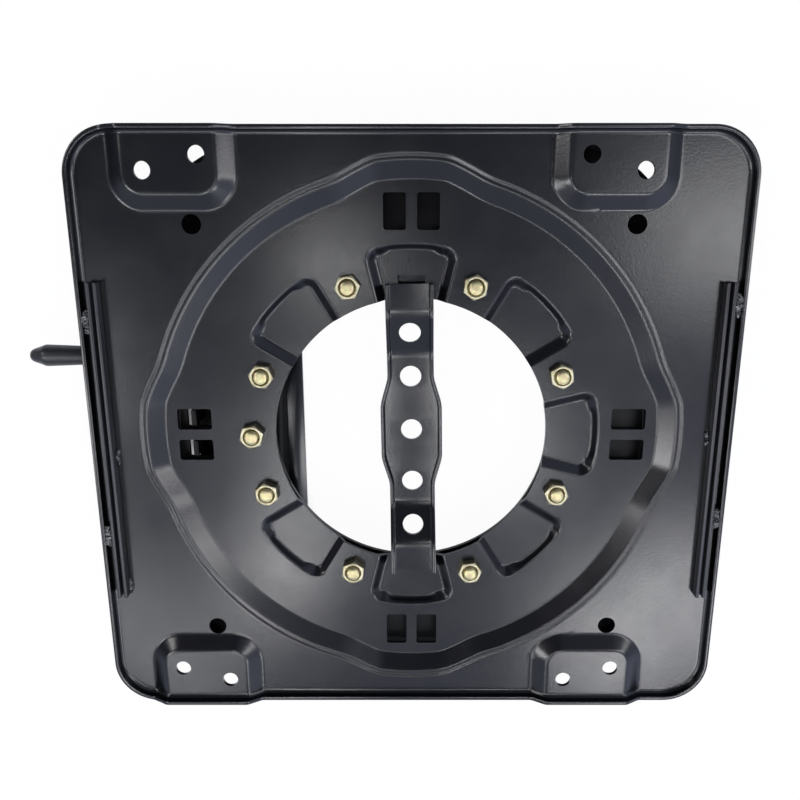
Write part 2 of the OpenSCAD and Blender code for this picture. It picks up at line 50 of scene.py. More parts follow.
def linear(hexColour):  # sRGB hex to the linear values that a shader takes
    parts = [int(hexColour[i:i + 2], 16) / 255 for i in (0, 2, 4)]
    return [c / 12.92 if c <= 0.04045 else ((c + 0.055) / 1.055) ** 2.4 for c in parts] + [1.0]


def addNode(tree, kind, settings=None, inputs=None, links=None, stops=()):
    node = tree.nodes.new(kind)
    for key, value in (settings or {}).items():
        setattr(node, key, value)
    for key, value in (inputs or {}).items():
        node.inputs[key].default_value = value
    for key, source in (links or {}).items():
        tree.links.new(source, node.inputs[key])
    for i, (place, colour) in enumerate(stops):  # a colour ramp's stops, each a hex colour or a grey
        stop = node.color_ramp.elements[i] if i < 2 else node.color_ramp.elements.new(place)
        stop.position = place
        stop.color = linear(colour) if isinstance(colour, str) else [colour] * 3 + [1.0]
    return node


def patternedMaterial(name, shader, colour, gloss, relief):
    # three noises on Object coordinates: one tints the colour, one spreads the roughness, one raises the
    # surface; each is given as its size in mm, detail and roughness, and then what it drives
    material = bpy.data.materials.new(name)
    material.use_nodes = True
    tree = material.node_tree
    tree.nodes.clear()
    place = addNode(tree, "ShaderNodeTexCoord").outputs["Object"]
    fields = []
    for sizeMm, detail, roughness in (colour[0], gloss[0], relief[0]):
        fields.append(addNode(tree, "ShaderNodeTexNoise", inputs={
            "Scale": 1000 / sizeMm, "Detail": detail, "Roughness": roughness},
            links={"Vector": place}).outputs["Fac"])
    tint = addNode(tree, "ShaderNodeValToRGB", links={"Fac": fields[0]}, stops=colour[1])
    spread = addNode(tree, "ShaderNodeValToRGB", links={"Fac": fields[1]}, stops=gloss[1])
    bump = addNode(tree, "ShaderNodeBump", inputs={"Strength": relief[1], "Distance": relief[2]},
                   links={"Height": fields[2]})
    bsdf = addNode(tree, "ShaderNodeBsdfPrincipled", inputs=shader, links={
        "Base Color": tint.outputs["Color"], "Roughness": spread.outputs["Color"],
        "Normal": bump.outputs["Normal"]})
    addNode(tree, "ShaderNodeOutputMaterial", links={"Surface": bsdf.outputs[0]})
    return material


def powderCoat(name, low, high, rough, peel, sheen=0.5):
    # gloss black powder coat, sprayed and baked: a faint orange peel breaks its highlights up; the peel's
    # cells are about 1.1 mm across, its cloudy patches 60 mm and its smears 22 mm
    return patternedMaterial(name, {"IOR": 1.5, "Specular IOR Level": sheen},
                             ((60, 3.0, 0.5), [(0.3, low), (0.7, high)]),
                             ((22, 4.0, 0.6), [(0.3, rough), (0.75, rough + 0.05)]),
                             ((1.1, 2.0, 0.5), peel, 0.00009))


def zincPlated(name, low, mid, high, rough, cloudMm=5):
    # electroplated zinc, clear or with a yellow chromate: pale metal with cloudy tints and a 0.8 mm grain
    return patternedMaterial(name, {"Metallic": 1.0},
                             ((cloudMm, 4.0, 0.6), [(0.3, low), (0.7, high), (0.5, mid)]),
                             ((0.8, 3.0, 0.5), [(0.3, rough), (0.7, rough + 0.15)]),
                             ((0.8, 3.0, 0.5), 0.25, 0.0001))


def weldCoatPaintedGlints(name):
    # the same coat over a coarse weld: its 1.1 mm grains of spatter are painted pale grey as painted glints, and
    # are rougher and raised
    spots = (1.1, 3.0, 0.7)
    return patternedMaterial(name, {"IOR": 1.5},
                             (spots, [(0.5, "0a0a0b"), (0.72, "a8a8a6")]),
                             (spots, [(0.4, 0.15), (0.7, 0.4)]),
                             (spots, 0.9, 0.0005))


def mouldedPlastic(name, low, high, rough, grainMm):
    # injection moulded plastic: fine spark-eroded grain and a soft dark sheen
    grain = (grainMm, 3.0, 0.5)
    return patternedMaterial(name, {"IOR": 1.48},
                             ((9, 3.0, 0.5), [(0.3, low), (0.7, high)]),
                             (grain, [(0.3, rough), (0.7, rough + 0.12)]),
                             (grain, 0.3, 0.0001))


coats = {
    "black_coat_plate": powderCoat("blackPowderCoat", "060608", "09090c", 0.2, 0.45),
    "black_coat": powderCoat("blackPowderCoatThin", "060608", "09090c", 0.17, 0.35),
    # a darker copy of the same black coat for the base plate and latch lever: painted shade, so that they look
    # shaded through the slots; it is rougher and duller too
    "black_coat_base": powderCoat("blackPowderCoatPaintedShade", "030303", "060606", 0.45, 0.4, 0.15),
    "glide_plastic": mouldedPlastic("acetalGlide", "1c1c1c", "242424", 0.5, 0.6),
    "bare_steel": zincPlated("clearZincSteel", "8c8f92", "9a9da0", "a9acae", 0.3),
    "zinc_bolt": zincPlated("yellowZincBolt", "b08d84", "aaa478", "b0ae8e", 0.32, 2.2),
    "zinc_nut": zincPlated("yellowZincNut", "9a9072", "aea88a", "bcb69e", 0.34),
    "spring_steel": zincPlated("oiledSpringSteel", "55585c", "62666a", "70747a", 0.3),
    "rod_steel": powderCoat("blackRodCoat", "09090b", "0e0e10", 0.24, 0.2),
    "grip_plastic": mouldedPlastic("blackPolypropylene", "0e0f10", "151618", 0.33, 0.5),
}
for entry in frame["record"]["subparts"]:
    mesh = frame["nodes"][entry["node"]].data
    mesh.materials.clear()
    mesh.materials.append(coats[entry["material_slot"]])
print("materials made")


# meshes

def newPiece(name, body, slotName, points, faces):
    mesh = bpy.data.meshes.new(name)
    mesh.from_pydata(points.tolist(), [], faces.tolist() if hasattr(faces, "tolist") else faces)
    mesh.validate()
    piece = bpy.data.objects.new(name, mesh)
    bpy.context.scene.collection.objects.link(piece)
    mesh.materials.append(coats[slotName])
    mesh.shade_smooth()
    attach(piece, body)
    return piece


def gridFaces(rows, columns, wrapRows=False):
    # four-sided faces between neighbouring rows and columns; the last column joins the first
    i = np.arange(rows if wrapRows else rows - 1)[:, None]
    j = np.arange(columns)[None, :]
    nextI, nextJ = (i + 1) % rows, (j + 1) % columns
    return np.stack([i * columns + j, i * columns + nextJ, nextI * columns + nextJ,
                     nextI * columns + j], axis=-1).reshape(-1, 4)


def applyModifiers(piece):  # keeps the finished mesh and drops what made it
    graph = bpy.context.evaluated_depsgraph_get()
    mesh = bpy.data.meshes.new_from_object(piece.evaluated_get(graph))
    piece.modifiers.clear()
    piece.data = mesh


# pressed seat plate

# sizes of the pressing in mm, as on the solid plate; each pair named soft rounds a slope's foot and top;
# discRows gives each band of rows as first radius, last radius and count
plate = {
    "width": 380, "length": 352, "corner": 27, "sheet": 2.5,
    "disc": 38.0, "flat": 44.5, "pad": 50.0, "pocketDepth": 4.5, "rim": 5.5, "rimBend": 2.5,
    "discEdge": 141.8, "discSlope": 9.6, "lip": 0.6, "lipAt": 11.9, "lipRun": 1.5,
    "bulge": 6.6, "bulgeFace": 18.5, "bulgeFoot": 40,
    "padShift": 9.5, "padSpacing": 244, "padWidth": 70, "padEnd": 131, "padCorner": 19, "padSlope": 8.8,
    "pocketEdge": 112.5, "pocketHalf": 14, "pocketRound": 8, "pocketSlope": 4.6, "pocketStep": 2.3,
    "bulgeSoft": (3, 6), "discSoft": (0.5, 0.7), "lipSoft": (0.35, 0.5), "padSoft": (0.6, 1.0),
    "pocketSoft": (0.7, 0.6), "stepHalf": 8.6, "stepRun": 2, "stepSoft": (0.01, 0.01), "stepInside": 6,
    "seam": 168, "discColumns": 800, "flatColumns": 920, "flatRows": 60, "crowd": 0.12, "underRows": 24,
    "discRows": [(82, 103, 10), (104.2, 114, 17), (116, 139, 6), (140.4, 164, 54), (166, 168, 2)],
    "bendFrom": 15, "bendRows": 6, "rimFoot": 3.2, "rimSteps": 3, "edgeBreak": 0.65, "sharpAngle": 40,
    "edgeIn": (0.15, 0.6), "edgeDown": (0.22, 0.05),
}


def softStep(d, run, low, high):
    # rises 0 to 1 over run; a parabola of half width low rounds its foot, and one of high its top
    def bent(t, b):
        return np.where(t < -b, 0.0, np.where(t > b, t, (t + b) ** 2 / (4 * b)))
    return (bent(d, low) - bent(d - run, high)) / run


def roundedInside(dx, dy, r):
    # depth inside a corner made by two edges, dx and dy inside each of them, rounded to radius r
    qx, qy = r - dx, r - dy
    return r - np.hypot(np.maximum(qx, 0), np.maximum(qy, 0)) - np.minimum(np.maximum(qx, qy), 0)


def plateHeight(x, y):
    # the flat, less the sunk disc with its lip, bulges and pockets, plus the corner pads
    p = plate
    r, angle = np.hypot(x, y), np.arctan2(y, x)
    turn = (angle + math.pi / 4) % (math.pi / 2) - math.pi / 4
    across = np.abs(np.sin(turn)) * p["discEdge"]
    bump = 1 - softStep(across - p["bulgeFace"], p["bulgeFoot"] - p["bulgeFace"], *p["bulgeSoft"])
    out = r - p["discEdge"] - p["bulge"] * bump
    rise = p["flat"] - p["disc"] - p["lip"]
    z = p["disc"] + rise * softStep(out, p["discSlope"], *p["discSoft"])
    z = z + p["lip"] * softStep(out - p["lipAt"], p["lipRun"], *p["lipSoft"])
    px = np.abs(np.abs(x + p["padShift"]) - p["padSpacing"] / 2)
    inside = roundedInside(p["padWidth"] / 2 - px, np.abs(y) - p["padEnd"], p["padCorner"])
    z = z + (p["pad"] - p["flat"]) * softStep(inside, p["padSlope"], *p["padSoft"])
    eighth = (angle + math.pi / 8) % (math.pi / 4) - math.pi / 8
    near = np.where(np.abs(angle) < math.pi - math.pi / 8, 1.0, 0.0)  # no pocket on the lever side
    side = r * np.sin(math.radians(p["pocketHalf"]) - np.abs(eighth))
    middle = softStep(math.radians(p["stepHalf"]) - np.abs(eighth), math.radians(p["stepRun"]), *p["stepSoft"])
    depth = roundedInside(side, p["pocketEdge"] - r, p["pocketRound"])
    run = p["pocketSlope"] - p["pocketStep"] * middle * np.where(side > p["stepInside"], 1.0, 0.0)
    return z - near * p["pocketDepth"] * softStep(depth, run, *p["pocketSoft"])


def rimPoint(angle):
    # where a ray at this angle meets the rounded rectangle, set in by the rim's bend, and its normal
    inset = plate["rimBend"] + plate["sheet"]
    hx, hy, rc = plate["width"] / 2 - inset, plate["length"] / 2 - inset, plate["corner"] - inset
    c, s = np.cos(angle), np.sin(angle)
    cx, cy = hx - rc, hy - rc
    ac, as_ = np.abs(c), np.abs(s)
    b = ac * cx + as_ * cy
    onArc = b + np.sqrt(np.maximum(b * b - (cx * cx + cy * cy - rc * rc), 0))
    t = np.minimum(hx / np.maximum(ac, 1e-9), hy / np.maximum(as_, 1e-9))
    x, y = t * ac, t * as_
    corner = (x > cx) & (y > cy)
    x, y = np.where(corner, onArc * ac, x), np.where(corner, onArc * as_, y)
    nx = np.where(corner, (x - cx) / rc, np.where(x >= hx - 1e-6, 1.0, 0.0))
    ny = np.where(corner, (y - cy) / rc, np.where(x >= hx - 1e-6, 0.0, 1.0))
    return x * np.sign(c), y * np.sign(s), nx * np.sign(c), ny * np.sign(s)


def sheetBody(top, edge):
    # the upper skin, rows round the outer edge, and a lower skin with fewer rows, a sheet's thickness
    # along the upper one's normals; all joined into one closed body
    rows, columns = top.shape[:2]
    du = np.gradient(top, axis=0)
    dv = (np.roll(top, -1, axis=1) - np.roll(top, 1, axis=1)) / 2
    normal = np.cross(dv, du)
    normal /= np.maximum(np.linalg.norm(normal, axis=-1, keepdims=True), 1e-12)
    normal *= np.where(normal[0, 0, 2] < 0, -1.0, 1.0)
    kept = np.unique(np.linspace(0, rows - 1, plate["underRows"]).round().astype(int))
    under = (top - normal * plate["sheet"])[kept]
    points = np.concatenate([top, edge, under[::-1]], axis=0)
    faces = gridFaces(len(points), columns, wrapRows=True)
    return points.reshape(-1, 3) * mm, faces


def plateAngles(count, crowd):
    # even steps, crowded by a sine of four waves round the plate
    even = np.linspace(0, 2 * math.pi, count, endpoint=False)
    return even + crowd * np.sin(4 * even)


def discSkin():
    # rings of growing radius, raised to the plate's height; the bands are closest where it slopes
    r = np.concatenate([np.linspace(*band) for band in plate["discRows"]])
    a = plateAngles(plate["discColumns"], 0)
    x, y = r[:, None] * np.cos(a), r[:, None] * np.sin(a)
    return np.stack([x, y, plateHeight(x, y)], axis=-1), np.zeros((0, len(a), 3))


def flatSkin():
    # rows that blend from the seam's circle to the rounded rectangle, then up round the rim's bend
    p = plate
    a = plateAngles(p["flatColumns"], p["crowd"])
    ex, ey, nx, ny = rimPoint(a)
    t = np.linspace(0, 1, p["flatRows"])[:, None]
    x = (1 - t) * p["seam"] * np.cos(a) + t * ex
    y = (1 - t) * p["seam"] * np.sin(a) + t * ey
    flat = np.stack([x, y, plateHeight(x, y)], axis=-1)
    base = plateHeight(ex, ey)

    def rimRows(out, up):
        out, up = np.array(out)[:, None], np.array(up)[:, None]
        return np.stack([ex + out * nx, ey + out * ny, base + up], axis=-1)

    bend = np.radians(np.linspace(p["bendFrom"], 90, p["bendRows"]))
    inner, outer, top = p["rimBend"], p["rimBend"] + p["sheet"], p["rim"]
    rise = np.linspace(p["rimFoot"], top - p["edgeBreak"], p["rimSteps"])
    rim = rimRows(np.concatenate([inner * np.sin(bend), [inner] * len(rise)]),
                  np.concatenate([inner * (1 - np.cos(bend)), rise]))
    (side, crest), (low, high) = p["edgeIn"], p["edgeDown"]  # the rim's upper edge is rounded on both sides
    edge = rimRows([inner + side, inner + crest, outer - crest, outer - side],
                   [top - low, top - high, top - high, top - low])
    return np.concatenate([flat, rim], axis=0), edge


def prism(cutter, outline, z1, z2):  # adds an upright prism over an outline to a bmesh
    low = [cutter.verts.new((x * mm, y * mm, z1 * mm)) for x, y in outline]
    high = [cutter.verts.new((x * mm, y * mm, z2 * mm)) for x, y in outline]
    n = len(outline)
    cutter.faces.new(low[::-1])
    cutter.faces.new(high)
    for i in range(n):
        cutter.faces.new([low[i], low[(i + 1) % n], high[(i + 1) % n], high[i]])


def roundHole(x, y, d, steps=40):  # a circle's outline
    a = np.linspace(0, 2 * math.pi, steps, endpoint=False)
    return list(zip(x + d / 2 * np.cos(a), y + d / 2 * np.sin(a)))


def slotHole(x1, x2, y1, y2, r, turn):
    # a rectangle with corners rounded to r, turned about the swivel axis
    corners = [(x2 - r, y2 - r, 0), (x1 + r, y2 - r, 90), (x1 + r, y1 + r, 180), (x2 - r, y1 + r, 270)]
    c, s = math.cos(turn), math.sin(turn)
    outline = []
    for cx, cy, start in corners:
        for a in np.radians(np.linspace(start, start + 90, 6)):
            x, y = cx + r * math.cos(a), cy + r * math.sin(a)
            outline.append((x * c - y * s, x * s + y * c))
    return outline


def cutHoles(piece, outlines):  # takes an upright prism through the sheet out of the piece for each outline
    cutter = bmesh.new()
    for outline in outlines:
        prism(cutter, outline, *holes["cutFromTo"])
    mesh = bpy.data.meshes.new("cutter")
    cutter.to_mesh(mesh)
    cutter.free()
    tool = bpy.data.objects.new("cutter", mesh)
    bpy.context.scene.collection.objects.link(tool)
    cut = piece.modifiers.new("holes", "BOOLEAN")
    cut.operation, cut.solver, cut.object = "DIFFERENCE", "EXACT", tool
    bpy.context.view_layer.update()
    applyModifiers(piece)
    bpy.data.objects.remove(tool)


holes = {
    "slotR": 120.5, "slotLen": 20.5, "slotW": 12.8, "slotGap": 19.2, "slotRound": 1.5,
    "boltCircle": 96, "boltHole": 8.8, "seatHole": 9.6, "seatGap": 29.8, "seatY": (152.4, 160.6),
    "access": 11, "cutFromTo": (20, 70),
    "accessAt": [(-123.8, -125.2), (-122.8, 123.8), (124.6, -124.8), (126, 123.8)],
    "strapNotch": (-8, 8, 90, 95, 0.8, 0),
}


def plateHoles():
    # outlines for the disc (bolts, lock slots, strap's notch) and for the flats (pads and access)
    h = holes
    disc = [roundHole(h["boltCircle"] * math.cos(a), h["boltCircle"] * math.sin(a), h["boltHole"])
            for a in np.radians([22.5 + 45 * i for i in range(8)] + [180])]
    for quarter in range(4):
        for side in (-1, 1):
            mid = side * h["slotGap"] / 2
            disc.append(slotHole(h["slotR"], h["slotR"] + h["slotLen"], mid - h["slotW"] / 2,
                                 mid + h["slotW"] / 2, h["slotRound"], quarter * math.pi / 2))
    disc.append(slotHole(*h["strapNotch"]))
    flat, access = [], iter(h["accessAt"])
    for sx in (-1, 1):
        for sy in (-1, 1):
            cx = sx * plate["padSpacing"] / 2 - plate["padShift"]
            flat.append(roundHole(cx + sx * h["seatGap"] / 2, sy * h["seatY"][0], h["seatHole"]))
            flat.append(roundHole(cx - sx * h["seatGap"] / 2, sy * h["seatY"][1], h["seatHole"]))
            flat.append(roundHole(*next(access), h["access"]))
    return disc, flat


discHoles, flatHoles = plateHoles()
for name, (skin, edge), outlines in (("plateDisc", discSkin(), discHoles),
                                     ("plateFlats", flatSkin(), flatHoles)):
    points, faces = sheetBody(skin, edge)
    piece = newPiece(name, "seat", "black_coat_plate", points, faces)
    cutHoles(piece, outlines)
    piece.data.shade_smooth()
    piece.data.set_sharp_from_angle(angle=math.radians(plate["sharpAngle"]))
    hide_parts("seat_plate")
    print(name, len(piece.data.polygons), "faces")


# folded parts: the solid with its edges broken

# mergeWithin is in metres, the two angles in degrees and the breaks in mm
edges = {"segments": 2, "mergeWithin": 2e-6, "flatWithin": 1, "sharpOver": 25,
         "breaks": {"side_rail_left": 0.6, "side_rail_right": 0.6, "latch_bracket": 0.4,
                    "latch_lever": 0.4, "base_plate": 0.6}}


def brokenEdges(node, width):
    # a copy of the solid, its loose triangles merged and its sharp edges bevelled
    source = frame["nodes"][node]
    mesh = source.data.copy()
    work = bmesh.new()
    work.from_mesh(mesh)
    bmesh.ops.remove_doubles(work, verts=work.verts, dist=edges["mergeWithin"])
    bmesh.ops.dissolve_limit(work, angle_limit=math.radians(edges["flatWithin"]), verts=work.verts,
                             edges=work.edges)
    work.to_mesh(mesh)
    work.free()
    piece = bpy.data.objects.new(node + ".dressed", mesh)
    bpy.context.scene.collection.objects.link(piece)
    bevel = piece.modifiers.new("edges", "BEVEL")
    bevel.width, bevel.segments, bevel.limit_method = width * mm, edges["segments"], "ANGLE"
    bevel.angle_limit, bevel.use_clamp_overlap = math.radians(edges["sharpOver"]), True
    bevel.harden_normals = True
    mesh.shade_smooth()
    bpy.context.view_layer.update()
    applyModifiers(piece)
    body = [b for b, members in frame["record"]["behaviour"]["bodies"].items() if node in members][0]
    slotName = [e["material_slot"] for e in frame["record"]["subparts"] if e["node"] == node][0]
    piece.data.materials.clear()
    piece.data.materials.append(coats[slotName])
    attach(piece, body)
    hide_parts(node)
    print(node, len(piece.data.polygons), "faces")
    return piece


railCoatPaintedLight = powderCoat("blackCoatPaintedLight", "19191c", "222226", 0.36, 0.4)  # the same black coat painted lighter, as painted light on the rails; rougher too
# the latch lever takes the darker copy of the coat, which is painted shade
edgeCoats = {"side_rail_left": railCoatPaintedLight, "side_rail_right": railCoatPaintedLight, "latch_lever": coats["black_coat_base"]}
for node, width in edges["breaks"].items():
    piece = brokenEdges(node, width)
    if node in edgeCoats:
        piece.data.materials[0] = edgeCoats[node]


# strap across the opening

strap = {
    "half": 90, "floorZ": 33.5, "drop": 9.5, "flatEnd": 72.5, "slopeRun": 24.5, "narrow": 14, "wide": 18.7,
    "wideTo": 17, "narrowFrom": 33, "high": 8, "sheet": 2, "outerR": 2.6, "innerR": 0.9, "turn": 0.9,
    "hole": 6.5, "holeY": (33.5, 61), "holeSteps": 48, "rows": 150, "endStep": 0.4, "soft": 3,
    "break": 0.5, "breakMid": 0.12, "sharpAngle": 40,
}


def strapSection(w):
    # a channel: outside down, across the floor and up, then back along the inside; both bends rounded
    q = strap
    t, r, h, e, m = q["sheet"], q["outerR"], q["high"], q["break"], q["breakMid"]
    bend = np.radians(np.linspace(0, 90, 7))
    lip = [(w, h - e), (w - m, h - m), (w - e, h), (w - t + e, h), (w - t + m, h - m), (w - t, h - e)]
    outer = [(w - r + r * math.sin(a), r - r * math.cos(a)) for a in bend]
    r = q["innerR"]
    inner = [(w - t - r + r * math.cos(a), t + r - r * math.sin(a)) for a in bend]
    half = outer + lip + inner
    return half + [(-x, z) for x, z in half[::-1]]


def bridgeStrap():
    # the section carried along the strap; its width and height follow rounded steps along the length
    q = strap
    last = q["half"] - q["endStep"]
    y = np.concatenate([[-q["half"]], np.linspace(-last, last, q["rows"]), [q["half"]]])
    width = q["wide"] - (q["wide"] - q["narrow"]) * softStep(
        np.abs(y) - q["wideTo"], q["narrowFrom"] - q["wideTo"], q["soft"], q["soft"])
    low = q["floorZ"] - q["drop"] * softStep(q["flatEnd"] - np.abs(y), q["slopeRun"], q["soft"], q["soft"])
    turn = math.radians(q["turn"])
    rows = []
    for at, w, z in zip(y, width, low):
        rows.append([(x * math.cos(turn) - at * math.sin(turn), x * math.sin(turn) + at * math.cos(turn), z + up)
                     for x, up in strapSection(w)])
    points = np.array(rows)
    columns = points.shape[1]
    faces = gridFaces(len(y), columns).tolist()
    faces += [list(range(columns))[::-1], list(range((len(y) - 1) * columns, len(y) * columns))]
    piece = newPiece("strapPressed", "seat", "black_coat", points.reshape(-1, 3) * mm, faces)
    slope = math.cos(math.atan(q["drop"] / q["slopeRun"]))
    outlines = []
    flat, sloped = q["holeY"]  # a round hole in the sloped part is shorter seen from above
    for at, squeeze in ((0, 1), (-flat, 1), (-sloped, slope), (flat, 1), (sloped, slope)):
        outlines.append([(q["hole"] * math.cos(a) - at * math.sin(turn), at + q["hole"] * squeeze * math.sin(a))
                         for a in np.linspace(0, 2 * math.pi, q["holeSteps"], endpoint=False)])
    cutHoles(piece, outlines)
    piece.data.shade_smooth()
    piece.data.set_sharp_from_angle(angle=math.radians(q["sharpAngle"]))
    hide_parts("bridge_strap")
    print("strap", len(piece.data.polygons), "faces")


bridgeStrap()


# clamp nuts and bolts

# bore and point list radius and depth below the nut's top and the bolt's end
clamp = {
    "circle": 96, "flats": 13, "nutZ": 38, "nutHigh": 6.5, "nutTurn": 15, "topR": 6.15, "cone": 30,
    "bore": [(4.1, 6.5), (4.1, 1.3), (4.25, 1.1), (4.9, 0.35), (5.1, 0.12), (5.4, 0), (6.15, 0)],
    "headZ": 15.7, "seatZ": 21, "bolt": 4.0, "threadZ": 42.8, "endZ": 46.5, "pitch": 1.25, "groove": 0.5,
    "point": [(3.7, 0.5), (3.0, 0.14), (2.75, 0.05), (1.6, 0.02), (0.3, 0)],
    "coneSteps": (0.3, 0.6, 0.85, 1.0), "sideIn": 0.1, "sideDown": 0.12, "footIn": 0.3, "footHigh": 0.35,
    "headHole": 0.5, "headBreak": 0.2, "threadFrom": 0.1, "threadLeft": 0.45, "threadStep": 0.11,
    "nutColumns": 96, "boltColumns": 60, "sharpAngle": 32,
}


def boltPlaces():  # angles round the circle: eight evenly spaced, and a ninth on the lever side
    return [math.radians(22.5 + 45 * i) for i in range(8)] + [math.pi]


def hexReach(angle, first):
    # distance from the middle to a hexagon's side, with a corner at the angle first
    within = (angle - first) % (math.pi / 3) - math.pi / 6
    return clamp["flats"] / 2 / np.cos(within)


def turnedPieces(name, slotName, node, rings, capped):
    # one body for each bolt place: rings of radius and height carried round its own axis
    points, faces = [], []
    for place in boltPlaces():
        r, z, a = rings(place)
        x, y = clamp["circle"] * math.cos(place), clamp["circle"] * math.sin(place)
        start = sum(len(block) for block in points)
        points.append(np.stack([x + r * np.cos(a), y + r * np.sin(a), z + 0 * r], axis=-1).reshape(-1, 3))
        grid = gridFaces(r.shape[0], r.shape[1], wrapRows=not capped) + start
        faces += grid.tolist()
        if capped:
            last = start + (r.shape[0] - 1) * r.shape[1]
            faces += [list(range(start, start + r.shape[1]))[::-1], list(range(last, last + r.shape[1]))]
    piece = newPiece(name, "seat", slotName, np.concatenate(points) * mm, faces)
    piece.data.set_sharp_from_angle(angle=math.radians(clamp["sharpAngle"]))
    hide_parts(node)
    print(name, len(piece.data.polygons), "faces")


def nutRings(place):
    # countersunk bore, flat top ring, then a 30 degree cone that the hexagon's sides cut off
    c, h, n = clamp, clamp["nutHigh"], clamp["nutColumns"]
    first = place + math.radians(c["nutTurn"])
    a = first + np.linspace(0, 2 * math.pi, n, endpoint=False)
    reach = hexReach(a, first)
    r = [np.full(n, radius) for radius, _ in c["bore"]]
    z = [np.full(n, h - deep) for _, deep in c["bore"]]
    for t in c["coneSteps"]:
        r.append(c["topR"] + (reach - c["sideIn"] - c["topR"]) * t)
        z.append(h - (r[-1] - c["topR"]) * math.tan(math.radians(c["cone"])))
    r += [reach, reach, reach - c["footIn"]]
    z += [z[-1] - c["sideDown"], np.full(n, c["footHigh"]), np.full(n, 0.0)]
    return np.array(r), np.array(z) + c["nutZ"], a


def boltRings(place):
    # chamfered hexagon head below, plain shank, and a thread whose groove climbs once a pitch
    c, n = clamp, clamp["boltColumns"]
    a = place + np.linspace(0, 2 * math.pi, n, endpoint=False)
    reach = hexReach(a, place)
    rows = [(c["headHole"], c["headZ"]), (c["topR"], c["headZ"]),
            (reach, c["headZ"] + (reach - c["topR"]) * math.tan(math.radians(c["cone"]))),
            (reach, c["seatZ"] - c["headBreak"]), (reach - c["headBreak"], c["seatZ"]),
            (c["bolt"], c["seatZ"]), (c["bolt"], c["threadZ"])]
    for high in np.arange(c["threadZ"] + c["threadFrom"], c["endZ"] - c["threadLeft"], c["threadStep"]):
        wave = (high / c["pitch"] - a / (2 * math.pi)) % 1
        rows.append((c["bolt"] - c["groove"] * (1 - np.abs(2 * wave - 1)), high))
    rows += [(radius, c["endZ"] - deep) for radius, deep in c["point"]]
    r = [radius + np.zeros(n) for radius, _ in rows]
    z = [high + np.zeros(n) for _, high in rows]
    return np.array(r), np.array(z), a


turnedPieces("nutsPlated", "zinc_nut", "clamp_nuts", nutRings, False)
turnedPieces("boltsPlated", "zinc_bolt", "clamp_bolts", boltRings, True)


# lever rod and grip

# grip lists the distance from its start and the radius there
lever = {
    "y": 46.5, "rodD": 8, "lowZ": 16.1, "highZ": 26.0, "start": -100, "bend1": -150, "bend2": -176,
    "bendFrom": 10, "endBreak": 0.5, "rodEnd": -218, "gripStart": -192, "gripSides": 48, "sharpAngle": 50,
    "grip": [(0, 4.05), (0, 4.9), (0.4, 5.3), (1.2, 5.5), (14, 6.05), (26, 6.5), (27.6, 6.55), (28.8, 6.4),
             (29.8, 6.0), (30.6, 5.65), (33, 4.85), (35.2, 4.1), (36.5, 3.5), (37.4, 2.6), (37.85, 1.5),
             (38, 0.25)],
}


def roundedPath(corners, radius, steps=10):
    # straight runs with each inner corner replaced by a curve that starts and ends radius away from it
    path = [corners[0]]
    for before, corner, after in zip(corners[:-2], corners[1:-1], corners[2:]):
        a = corner + (before - corner) / np.linalg.norm(before - corner) * radius
        b = corner + (after - corner) / np.linalg.norm(after - corner) * radius
        for t in np.linspace(0, 1, steps):
            path.append((1 - t) ** 2 * a + 2 * t * (1 - t) * corner + t * t * b)
    path.append(corners[-1])
    return np.array(path)


def sweep(path, radii, sides=32, across=(0, 1, 0)):
    # a circle of each radius carried along the path; across is square to the path everywhere
    along = np.gradient(path, axis=0)
    along /= np.linalg.norm(along, axis=1, keepdims=True)
    first = np.tile(np.array(across, float), (len(path), 1))
    second = np.cross(along, first)
    v = np.linspace(0, 2 * math.pi, sides, endpoint=False)
    ring = (np.cos(v)[None, :, None] * first[:, None] + np.sin(v)[None, :, None] * second[:, None])
    points = path[:, None] + np.asarray(radii)[:, None, None] * ring
    faces = gridFaces(len(path), sides).tolist()
    n = len(path) * sides
    faces += [list(range(sides))[::-1], list(range(n - sides, n))]
    return points.reshape(-1, 3) * mm, faces


def leverRod():
    # a round bar swept along its two bends, its inner end slightly broken
    l = lever
    corners = [np.array([x, l["y"], z]) for x, z in ((l["start"], l["lowZ"]), (l["bend1"], l["lowZ"]),
               (l["bend2"], l["highZ"]), (l["rodEnd"], l["highZ"]))]
    path = roundedPath(corners, l["bendFrom"])
    path = np.concatenate([path[:1], path[:1] + [-l["endBreak"], 0, 0], path[1:]])
    radii = np.full(len(path), l["rodD"] / 2)
    radii[0] -= l["endBreak"]
    points, faces = sweep(path, radii)
    rod = newPiece("leverRodBent", "lever", "rod_steel", points, faces)
    rod.data.set_sharp_from_angle(angle=math.radians(l["sharpAngle"]))
    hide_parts("lever_rod")


def leverGrip():
    # turned about the rod's line: a sleeve that widens outwards, a soft shoulder, a cone and a round nose
    l = lever
    path = np.array([[l["gripStart"] - d, l["y"], l["highZ"]] for d, _ in l["grip"]])
    path[0, 0] += 0.001  # keeps the first two rings apart, so that the path has a direction there
    points, faces = sweep(path, [r for _, r in l["grip"]], l["gripSides"])
    grip = newPiece("gripMoulded", "lever", "grip_plastic", points, faces)
    grip.data.set_sharp_from_angle(angle=math.radians(l["sharpAngle"]))
    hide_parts("lever_grip")


leverRod()
leverGrip()


# weld beads that hold the side rails

